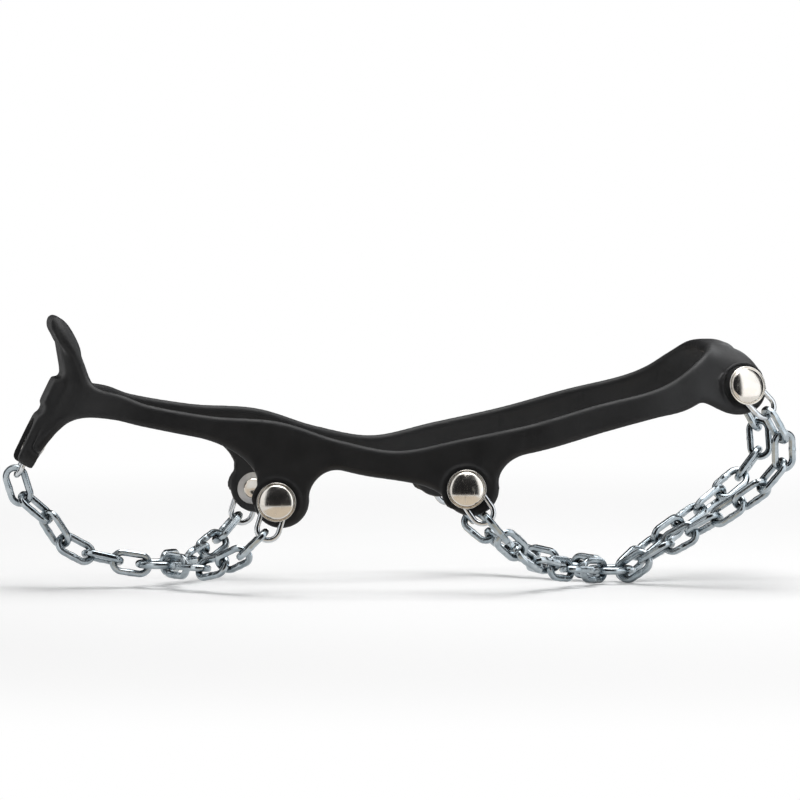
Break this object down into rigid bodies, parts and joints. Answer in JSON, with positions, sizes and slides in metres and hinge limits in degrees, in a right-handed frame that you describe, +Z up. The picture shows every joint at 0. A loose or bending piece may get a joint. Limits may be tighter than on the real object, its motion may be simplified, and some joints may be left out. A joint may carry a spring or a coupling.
{
  "type": "shoe traction chain",
  "caption": "Rubber sling that stretches round a shoe, with riveted lobes that carry webs of welded chain under the sole for grip on ice and snow.",
  "frame": {"origin": "seat of the shoe's sole, on the middle plane, about halfway along the shoe", "axes": "+X to the toe, +Y to the left side, +Z up from the sole"},
  "size_m": [0.3148, 0.1244, 0.1084],
  "materials": {
    "rubber": "semi-matte moulded rubber",
    "nickel": "bright nickel plate",
    "washer_steel": "plain steel",
    "zinc": "bright zinc plate",
    "hook_wire": "bright round wire"
  },
  "bodies": {
    "sling": {"rubber_sling": "rubber", "rivets": "nickel", "rivet_washers": "washer_steel"},
    "ball_right_link_1": {"ball_right_link_1": "hook_wire"},
    "ball_right_link_2": {"ball_right_link_2": "zinc"},
    "ball_right_link_3": {"ball_right_link_3": "zinc"},
    "ball_right_link_4": {"ball_right_link_4": "zinc"},
    "ball_right_link_5": {"ball_right_link_5": "zinc"},
    "ball_right_link_6": {"ball_right_link_6": "zinc"},
    "ball_right_link_7": {"ball_right_link_7": "zinc"},
    "ball_right_link_8": {"ball_right_link_8": "zinc"},
    "forefoot_ring": {"forefoot_ring": "zinc"},
    "ball_left_link_1": {"ball_left_link_1": "hook_wire"},
    "ball_left_link_2": {"ball_left_link_2": "zinc"},
    "ball_left_link_3": {"ball_left_link_3": "zinc"},
    "ball_left_link_4": {"ball_left_link_4": "zinc"},
    "ball_left_link_5": {"ball_left_link_5": "zinc"},
    "ball_left_link_6": {"ball_left_link_6": "zinc"},
    "ball_left_link_7": {"ball_left_link_7": "zinc"},
    "ball_left_link_8": {"ball_left_link_8": "zinc"},
    "toe_right_link_1": {"toe_right_link_1": "hook_wire"},
    "toe_right_link_2": {"toe_right_link_2": "zinc"},
    "toe_right_link_3": {"toe_right_link_3": "zinc"},
    "toe_right_link_4": {"toe_right_link_4": "zinc"},
    "toe_right_link_5": {"toe_right_link_5": "zinc"},
    "toe_right_link_6": {"toe_right_link_6": "zinc"},
    "toe_right_link_7": {"toe_right_link_7": "zinc"},
    "toe_right_link_8": {"toe_right_link_8": "zinc"},
    "toe_right_link_9": {"toe_right_link_9": "zinc"},
    "toe_right_link_10": {"toe_right_link_10": "zinc"},
    "toe_left_link_1": {"toe_left_link_1": "hook_wire"},
    "toe_left_link_2": {"toe_left_link_2": "zinc"},
    "toe_left_link_3": {"toe_left_link_3": "zinc"},
    "toe_left_link_4": {"toe_left_link_4": "zinc"},
    "toe_left_link_5": {"toe_left_link_5": "zinc"},
    "toe_left_link_6": {"toe_left_link_6": "zinc"},
    "toe_left_link_7": {"toe_left_link_7": "zinc"},
    "toe_left_link_8": {"toe_left_link_8": "zinc"},
    "toe_left_link_9": {"toe_left_link_9": "zinc"},
    "toe_left_link_10": {"toe_left_link_10": "zinc"},
    "arch_right_link_1": {"arch_right_link_1": "hook_wire"},
    "arch_right_link_2": {"arch_right_link_2": "zinc"},
    "arch_right_link_3": {"arch_right_link_3": "zinc"},
    "arch_right_link_4": {"arch_right_link_4": "zinc"},
    "arch_right_link_5": {"arch_right_link_5": "zinc"},
    "arch_right_link_6": {"arch_right_link_6": "zinc"},
    "arch_left_link_1": {"arch_left_link_1": "hook_wire"},
    "arch_left_link_2": {"arch_left_link_2": "zinc"},
    "arch_left_link_3": {"arch_left_link_3": "zinc"},
    "arch_left_link_4": {"arch_left_link_4": "zinc"},
    "arch_left_link_5": {"arch_left_link_5": "zinc"},
    "arch_left_link_6": {"arch_left_link_6": "zinc"},
    "heel_link_1": {"heel_link_1": "hook_wire"},
    "heel_link_2": {"heel_link_2": "zinc"},
    "heel_link_3": {"heel_link_3": "zinc"},
    "heel_link_4": {"heel_link_4": "zinc"},
    "heel_link_5": {"heel_link_5": "zinc"},
    "heel_link_6": {"heel_link_6": "zinc"},
    "heel_link_7": {"heel_link_7": "zinc"},
    "heel_ring": {"heel_ring": "zinc"}
  },
  "joints": [
    {"name": "ball_right_link_1_hinge", "type": "hinge", "parent": "sling", "child": "ball_right_link_1", "pos_m": [0.02036, -0.05041, 0.03099], "axis": [-0.0963, -0.983, 0.1564], "range_deg": [-0.69, 0.69]},
    {"name": "ball_right_link_2_hinge", "type": "hinge", "parent": "ball_right_link_1", "child": "ball_right_link_2", "pos_m": [0.02956, -0.05706, 0.01855], "axis": [-0.7575, 0.0104, -0.6527], "range_deg": [-3.51, 3.51]},
    {"name": "ball_right_link_3_hinge", "type": "hinge", "parent": "ball_right_link_2", "child": "ball_right_link_3", "pos_m": [0.03621, -0.0513, 0.01092], "axis": [0.2944, -0.8415, -0.4529], "range_deg": [-1.83, 1.83]},
    {"name": "ball_right_link_4_hinge", "type": "hinge", "parent": "ball_right_link_3", "child": "ball_right_link_4", "pos_m": [0.04388, -0.04522, 0.00461], "axis": [-0.7211, 0.3269, -0.6109], "range_deg": [-9.6, 9.6]},
    {"name": "ball_right_link_5_hinge", "type": "hinge", "parent": "ball_right_link_4", "child": "ball_right_link_5", "pos_m": [0.05108, -0.03722, 0.00038], "axis": [0.2035, -0.4349, -0.8772], "range_deg": [-0.88, 0.88]},
    {"name": "ball_right_link_6_hinge", "type": "hinge", "parent": "ball_right_link_5", "child": "ball_right_link_6", "pos_m": [0.05887, -0.02888, -0.00195], "axis": [-0.7384, 0.6473, -0.189], "range_deg": [-9.47, 9.47]},
    {"name": "ball_right_link_7_hinge", "type": "hinge", "parent": "ball_right_link_6", "child": "ball_right_link_7", "pos_m": [0.06669, -0.02034, -0.00324], "axis": [-0.0265, -0.0951, -0.9951], "range_deg": [-0.84, 0.84]},
    {"name": "ball_right_link_8_hinge", "type": "hinge", "parent": "ball_right_link_7", "child": "ball_right_link_8", "pos_m": [0.07464, -0.01188, -0.00426], "axis": [-0.7436, 0.6686, 0], "range_deg": [-4.07, 4.07]},
    {"name": "forefoot_ring_hinge", "type": "hinge", "parent": "ball_right_link_8", "child": "forefoot_ring", "pos_m": [0.07937, -0.00662, -0.00474], "axis": [-0.7436, 0.6686, 0], "range_deg": [-6.94, 6.94]},
    {"name": "ball_left_link_1_hinge", "type": "hinge", "parent": "sling", "child": "ball_left_link_1", "pos_m": [0.02036, 0.05041, 0.03099], "axis": [-0.0963, 0.983, 0.1564], "range_deg": [-0.69, 0.69]},
    {"name": "ball_left_link_2_hinge", "type": "hinge", "parent": "ball_left_link_1", "child": "ball_left_link_2", "pos_m": [0.02956, 0.05706, 0.01855], "axis": [0.7575, 0.0104, 0.6527], "range_deg": [-3.51, 3.51]},
    {"name": "ball_left_link_3_hinge", "type": "hinge", "parent": "ball_left_link_2", "child": "ball_left_link_3", "pos_m": [0.03621, 0.0513, 0.01092], "axis": [0.2944, 0.8415, -0.4529], "range_deg": [-1.83, 1.83]},
    {"name": "ball_left_link_4_hinge", "type": "hinge", "parent": "ball_left_link_3", "child": "ball_left_link_4", "pos_m": [0.04388, 0.04522, 0.00461], "axis": [0.7211, 0.3269, 0.6109], "range_deg": [-9.6, 9.6]},
    {"name": "ball_left_link_5_hinge", "type": "hinge", "parent": "ball_left_link_4", "child": "ball_left_link_5", "pos_m": [0.05108, 0.03722, 0.00038], "axis": [0.2035, 0.4349, -0.8772], "range_deg": [-0.88, 0.88]},
    {"name": "ball_left_link_6_hinge", "type": "hinge", "parent": "ball_left_link_5", "child": "ball_left_link_6", "pos_m": [0.05887, 0.02888, -0.00195], "axis": [0.7384, 0.6473, 0.189], "range_deg": [-9.47, 9.47]},
    {"name": "ball_left_link_7_hinge", "type": "hinge", "parent": "ball_left_link_6", "child": "ball_left_link_7", "pos_m": [0.06669, 0.02034, -0.00324], "axis": [-0.0265, 0.0951, -0.9951], "range_deg": [-0.84, 0.84]},
    {"name": "ball_left_link_8_hinge", "type": "hinge", "parent": "ball_left_link_7", "child": "ball_left_link_8", "pos_m": [0.07464, 0.01188, -0.00426], "axis": [0.7436, 0.6686, 0], "range_deg": [-4.07, 4.07]},
    {"name": "toe_right_link_1_hinge", "type": "hinge", "parent": "sling", "child": "toe_right_link_1", "pos_m": [0.133, -0.0345, 0.06995], "axis": [0.286, -0.9354, 0.2079], "range_deg": [-3.63, 3.63]},
    {"name": "toe_right_link_2_hinge", "type": "hinge", "parent": "toe_right_link_1", "child": "toe_right_link_2", "pos_m": [0.1445, -0.03757, 0.05809], "axis": [-0.796, -0.3353, -0.504], "range_deg": [-6.1, 6.1]},
    {"name": "toe_right_link_3_hinge", "type": "hinge", "parent": "toe_right_link_2", "child": "toe_right_link_3", "pos_m": [0.14987, -0.03523, 0.04806], "axis": [0.3087, -0.9388, -0.1528], "range_deg": [-0.93, 0.93]},
    {"name": "toe_right_link_4_hinge", "type": "hinge", "parent": "toe_right_link_3", "child": "toe_right_link_4", "pos_m": [0.14764, -0.03421, 0.03731], "axis": [-0.7788, -0.3128, 0.5437], "range_deg": [-1.56, 1.56]},
    {"name": "toe_right_link_5_hinge", "type": "hinge", "parent": "toe_right_link_4", "child": "toe_right_link_5", "pos_m": [0.14043, -0.03104, 0.0288], "axis": [0.0837, -0.8311, -0.5498], "range_deg": [-2.48, 2.48]},
    {"name": "toe_right_link_6_hinge", "type": "hinge", "parent": "toe_right_link_5", "child": "toe_right_link_6", "pos_m": [0.13152, -0.02755, 0.02216], "axis": [-0.6014, -0.6451, 0.4713], "range_deg": [-6.7, 6.7]},
    {"name": "toe_right_link_7_hinge", "type": "hinge", "parent": "toe_right_link_6", "child": "toe_right_link_7", "pos_m": [0.12244, -0.02353, 0.01608], "axis": [0.2706, -0.4925, -0.8272], "range_deg": [-0.59, 0.59]},
    {"name": "toe_right_link_8_hinge", "type": "hinge", "parent": "toe_right_link_7", "child": "toe_right_link_8", "pos_m": [0.1134, -0.01891, 0.01037], "axis": [-0.5177, -0.8465, 0.1246], "range_deg": [-1.13, 1.13]},
    {"name": "toe_right_link_9_hinge", "type": "hinge", "parent": "toe_right_link_8", "child": "toe_right_link_9", "pos_m": [0.10437, -0.01423, 0.00468], "axis": [0.4093, -0.3021, -0.861], "range_deg": [-1.22, 1.22]},
    {"name": "toe_right_link_10_hinge", "type": "hinge", "parent": "toe_right_link_9", "child": "toe_right_link_10", "pos_m": [0.09611, -0.00856, -0.00124], "axis": [-0.6054, -0.796, 0], "range_deg": [-2.38, 2.38]},
    {"name": "toe_left_link_1_hinge", "type": "hinge", "parent": "sling", "child": "toe_left_link_1", "pos_m": [0.133, 0.0345, 0.06995], "axis": [0.286, 0.9354, 0.2079], "range_deg": [-3.63, 3.63]},
    {"name": "toe_left_link_2_hinge", "type": "hinge", "parent": "toe_left_link_1", "child": "toe_left_link_2", "pos_m": [0.1445, 0.03757, 0.05809], "axis": [0.796, -0.3353, 0.504], "range_deg": [-6.1, 6.1]},
    {"name": "toe_left_link_3_hinge", "type": "hinge", "parent": "toe_left_link_2", "child": "toe_left_link_3", "pos_m": [0.14987, 0.03523, 0.04806], "axis": [0.3087, 0.9388, -0.1528], "range_deg": [-0.93, 0.93]},
    {"name": "toe_left_link_4_hinge", "type": "hinge", "parent": "toe_left_link_3", "child": "toe_left_link_4", "pos_m": [0.14764, 0.03421, 0.03731], "axis": [0.7788, -0.3128, -0.5437], "range_deg": [-1.56, 1.56]},
    {"name": "toe_left_link_5_hinge", "type": "hinge", "parent": "toe_left_link_4", "child": "toe_left_link_5", "pos_m": [0.14043, 0.03104, 0.0288], "axis": [0.0837, 0.8311, -0.5498], "range_deg": [-2.48, 2.48]},
    {"name": "toe_left_link_6_hinge", "type": "hinge", "parent": "toe_left_link_5", "child": "toe_left_link_6", "pos_m": [0.13152, 0.02755, 0.02216], "axis": [0.6014, -0.6451, -0.4713], "range_deg": [-6.7, 6.7]},
    {"name": "toe_left_link_7_hinge", "type": "hinge", "parent": "toe_left_link_6", "child": "toe_left_link_7", "pos_m": [0.12244, 0.02353, 0.01608], "axis": [0.2706, 0.4925, -0.8272], "range_deg": [-0.59, 0.59]},
    {"name": "toe_left_link_8_hinge", "type": "hinge", "parent": "toe_left_link_7", "child": "toe_left_link_8", "pos_m": [0.1134, 0.01891, 0.01037], "axis": [0.5177, -0.8465, -0.1246], "range_deg": [-1.13, 1.13]},
    {"name": "toe_left_link_9_hinge", "type": "hinge", "parent": "toe_left_link_8", "child": "toe_left_link_9", "pos_m": [0.10437, 0.01423, 0.00468], "axis": [0.4093, 0.3021, -0.861], "range_deg": [-1.22, 1.22]},
    {"name": "toe_left_link_10_hinge", "type": "hinge", "parent": "toe_left_link_9", "child": "toe_left_link_10", "pos_m": [0.09611, 0.00856, -0.00124], "axis": [0.6054, -0.796, 0], "range_deg": [-2.38, 2.38]},
    {"name": "arch_right_link_1_hinge", "type": "hinge", "parent": "sling", "child": "arch_right_link_1", "pos_m": [-0.05461, -0.04131, 0.02615], "axis": [-0.109, -0.9885, 0.1045], "range_deg": [-4.24, 4.24]},
    {"name": "arch_right_link_2_hinge", "type": "hinge", "parent": "arch_right_link_1", "child": "arch_right_link_2", "pos_m": [-0.06219, -0.04568, 0.01222], "axis": [-0.7029, 0.0695, 0.7078], "range_deg": [-5.87, 5.87]},
    {"name": "arch_right_link_3_hinge", "type": "hinge", "parent": "arch_right_link_2", "child": "arch_right_link_3", "pos_m": [-0.06891, -0.03984, 0.00498], "axis": [-0.3942, -0.7309, -0.5571], "range_deg": [-3.57, 3.57]},
    {"name": "arch_right_link_4_hinge", "type": "hinge", "parent": "arch_right_link_3", "child": "arch_right_link_4", "pos_m": [-0.07658, -0.03229, 0.00051], "axis": [-0.736, -0.5141, 0.4405], "range_deg": [-3.99, 3.99]},
    {"name": "arch_right_link_5_hinge", "type": "hinge", "parent": "arch_right_link_4", "child": "arch_right_link_5", "pos_m": [-0.08375, -0.02333, -0.00101], "axis": [-0.0718, -0.0587, -0.9957], "range_deg": [-8.46, 8.46]},
    {"name": "arch_right_link_6_hinge", "type": "hinge", "parent": "arch_right_link_5", "child": "arch_right_link_6", "pos_m": [-0.08962, -0.01327, -0.00118], "axis": [-0.8745, -0.4851, 0], "range_deg": [-1.78, 1.78]},
    {"name": "arch_left_link_1_hinge", "type": "hinge", "parent": "sling", "child": "arch_left_link_1", "pos_m": [-0.05461, 0.04131, 0.02615], "axis": [-0.109, 0.9885, 0.1045], "range_deg": [-4.24, 4.24]},
    {"name": "arch_left_link_2_hinge", "type": "hinge", "parent": "arch_left_link_1", "child": "arch_left_link_2", "pos_m": [-0.06219, 0.04568, 0.01222], "axis": [0.7029, 0.0695, -0.7078], "range_deg": [-5.87, 5.87]},
    {"name": "arch_left_link_3_hinge", "type": "hinge", "parent": "arch_left_link_2", "child": "arch_left_link_3", "pos_m": [-0.06891, 0.03984, 0.00498], "axis": [-0.3942, 0.7309, -0.5571], "range_deg": [-3.57, 3.57]},
    {"name": "arch_left_link_4_hinge", "type": "hinge", "parent": "arch_left_link_3", "child": "arch_left_link_4", "pos_m": [-0.07658, 0.03229, 0.00051], "axis": [0.736, -0.5141, -0.4405], "range_deg": [-3.99, 3.99]},
    {"name": "arch_left_link_5_hinge", "type": "hinge", "parent": "arch_left_link_4", "child": "arch_left_link_5", "pos_m": [-0.08375, 0.02333, -0.00101], "axis": [-0.0718, 0.0587, -0.9957], "range_deg": [-8.46, 8.46]},
    {"name": "arch_left_link_6_hinge", "type": "hinge", "parent": "arch_left_link_5", "child": "arch_left_link_6", "pos_m": [-0.08962, 0.01327, -0.00118], "axis": [0.8745, -0.4851, 0], "range_deg": [-1.78, 1.78]},
    {"name": "heel_link_1_hinge", "type": "hinge", "parent": "sling", "child": "heel_link_1", "pos_m": [-0.14758, 0, 0.04897], "axis": [-0.8988, 0, 0.4384], "range_deg": [-5.97, 5.97]},
    {"name": "heel_link_2_hinge", "type": "hinge", "parent": "heel_link_1", "child": "heel_link_2", "pos_m": [-0.15448, 0.00109, 0.03414], "axis": [0.2504, 0.9643, 0.0861], "range_deg": [-3.03, 3.03]},
    {"name": "heel_link_3_hinge", "type": "hinge", "parent": "heel_link_2", "child": "heel_link_3", "pos_m": [-0.14915, 0.0006, 0.02418], "axis": [-0.5597, 0.5095, -0.6535], "range_deg": [-0.92, 0.92]},
    {"name": "heel_link_4_hinge", "type": "hinge", "parent": "heel_link_3", "child": "heel_link_4", "pos_m": [-0.14065, -0.00013, 0.01634], "axis": [0.5903, 0.7064, 0.3907], "range_deg": [-10.97, 10.97]},
    {"name": "heel_link_5_hinge", "type": "hinge", "parent": "heel_link_4", "child": "heel_link_5", "pos_m": [-0.1337, -0.00084, 0.00713], "axis": [-0.2448, 0.8658, -0.4364], "range_deg": [-4.2, 4.2]},
    {"name": "heel_link_6_hinge", "type": "hinge", "parent": "heel_link_5", "child": "heel_link_6", "pos_m": [-0.12311, -0.00015, 0.00256], "axis": [0.2162, 0.2598, 0.9411], "range_deg": [-9.48, 9.48]},
    {"name": "heel_link_7_hinge", "type": "hinge", "parent": "heel_link_6", "child": "heel_link_7", "pos_m": [-0.11176, -0.00006, -0.00007], "axis": [-0.0077, 1, 0], "range_deg": [-1.78, 1.78]},
    {"name": "heel_ring_hinge", "type": "hinge", "parent": "heel_link_7", "child": "heel_ring", "pos_m": [-0.10475, -0.00001, -0.00118], "axis": [-0.0077, 1, 0], "range_deg": [-0.81, 0.81]}
  ],
  "couplings": [
    {"joint": "ball_right_link_1_hinge", "follows": "ball_right_link_6_hinge", "ratio": -0.04093},
    {"joint": "ball_right_link_2_hinge", "follows": "ball_right_link_6_hinge", "ratio": 0.33926},
    {"joint": "ball_right_link_3_hinge", "follows": "ball_right_link_6_hinge", "ratio": 0.16138},
    {"joint": "ball_right_link_4_hinge", "follows": "ball_right_link_6_hinge", "ratio": -0.98157},
    {"joint": "ball_right_link_5_hinge", "follows": "ball_right_link_6_hinge", "ratio": 0.06075},
    {"joint": "ball_right_link_7_hinge", "follows": "ball_right_link_6_hinge", "ratio": 0.05669},
    {"joint": "ball_right_link_8_hinge", "follows": "ball_right_link_6_hinge", "ratio": 0.39791},
    {"joint": "forefoot_ring_hinge", "follows": "ball_right_link_6_hinge", "ratio": -0.70092},
    {"joint": "ball_left_link_1_hinge", "follows": "ball_left_link_6_hinge", "ratio": 0.04093},
    {"joint": "ball_left_link_2_hinge", "follows": "ball_left_link_6_hinge", "ratio": 0.33926},
    {"joint": "ball_left_link_3_hinge", "follows": "ball_left_link_6_hinge", "ratio": -0.16138},
    {"joint": "ball_left_link_4_hinge", "follows": "ball_left_link_6_hinge", "ratio": -0.98157},
    {"joint": "ball_left_link_5_hinge", "follows": "ball_left_link_6_hinge", "ratio": -0.06075},
    {"joint": "ball_left_link_7_hinge", "follows": "ball_left_link_6_hinge", "ratio": -0.05669},
    {"joint": "ball_left_link_8_hinge", "follows": "ball_left_link_6_hinge", "ratio": 0.39791},
    {"joint": "toe_right_link_1_hinge", "follows": "toe_right_link_6_hinge", "ratio": 0.49662},
    {"joint": "toe_right_link_2_hinge", "follows": "toe_right_link_6_hinge", "ratio": -0.86553},
    {"joint": "toe_right_link_3_hinge", "follows": "toe_right_link_6_hinge", "ratio": 0.09361},
    {"joint": "toe_right_link_4_hinge", "follows": "toe_right_link_6_hinge", "ratio": -0.18806},
    {"joint": "toe_right_link_5_hinge", "follows": "toe_right_link_6_hinge", "ratio": -0.32528},
    {"joint": "toe_right_link_7_hinge", "follows": "toe_right_link_6_hinge", "ratio": 0.04271},
    {"joint": "toe_right_link_8_hinge", "follows": "toe_right_link_6_hinge", "ratio": -0.12333},
    {"joint": "toe_right_link_9_hinge", "follows": "toe_right_link_6_hinge", "ratio": 0.13759},
    {"joint": "toe_right_link_10_hinge", "follows": "toe_right_link_6_hinge", "ratio": 0.31057},
    {"joint": "toe_left_link_1_hinge", "follows": "toe_left_link_6_hinge", "ratio": -0.49662},
    {"joint": "toe_left_link_2_hinge", "follows": "toe_left_link_6_hinge", "ratio": -0.86553},
    {"joint": "toe_left_link_3_hinge", "follows": "toe_left_link_6_hinge", "ratio": -0.09361},
    {"joint": "toe_left_link_4_hinge", "follows": "toe_left_link_6_hinge", "ratio": -0.18806},
    {"joint": "toe_left_link_5_hinge", "follows": "toe_left_link_6_hinge", "ratio": 0.32528},
    {"joint": "toe_left_link_7_hinge", "follows": "toe_left_link_6_hinge", "ratio": -0.04271},
    {"joint": "toe_left_link_8_hinge", "follows": "toe_left_link_6_hinge", "ratio": -0.12333},
    {"joint": "toe_left_link_9_hinge", "follows": "toe_left_link_6_hinge", "ratio": -0.13759},
    {"joint": "toe_left_link_10_hinge", "follows": "toe_left_link_6_hinge", "ratio": 0.31057},
    {"joint": "arch_right_link_1_hinge", "follows": "arch_right_link_5_hinge", "ratio": -0.46561},
    {"joint": "arch_right_link_2_hinge", "follows": "arch_right_link_5_hinge", "ratio": 0.65872},
    {"joint": "arch_right_link_3_hinge", "follows": "arch_right_link_5_hinge", "ratio": 0.38652},
    {"joint": "arch_right_link_4_hinge", "follows": "arch_right_link_5_hinge", "ratio": -0.43641},
    {"joint": "arch_right_link_6_hinge", "follows": "arch_right_link_5_hinge", "ratio": 0.17474},
    {"joint": "arch_left_link_1_hinge", "follows": "arch_left_link_5_hinge", "ratio": -0.46561},
    {"joint": "arch_left_link_2_hinge", "follows": "arch_left_link_5_hinge", "ratio": -0.65872},
    {"joint": "arch_left_link_3_hinge", "follows": "arch_left_link_5_hinge", "ratio": 0.38652},
    {"joint": "arch_left_link_4_hinge", "follows": "arch_left_link_5_hinge", "ratio": 0.43641},
    {"joint": "arch_left_link_6_hinge", "follows": "arch_left_link_5_hinge", "ratio": -0.17474},
    {"joint": "heel_link_1_hinge", "follows": "heel_link_4_hinge", "ratio": 0.517},
    {"joint": "heel_link_2_hinge", "follows": "heel_link_4_hinge", "ratio": -0.24928},
    {"joint": "heel_link_3_hinge", "follows": "heel_link_4_hinge", "ratio": -0.05608},
    {"joint": "heel_link_5_hinge", "follows": "heel_link_4_hinge", "ratio": -0.35582},
    {"joint": "heel_link_6_hinge", "follows": "heel_link_4_hinge", "ratio": -0.83704},
    {"joint": "heel_link_7_hinge", "follows": "heel_link_4_hinge", "ratio": 0.13476},
    {"joint": "heel_ring_hinge", "follows": "heel_link_4_hinge", "ratio": -0.04664}
  ]
}
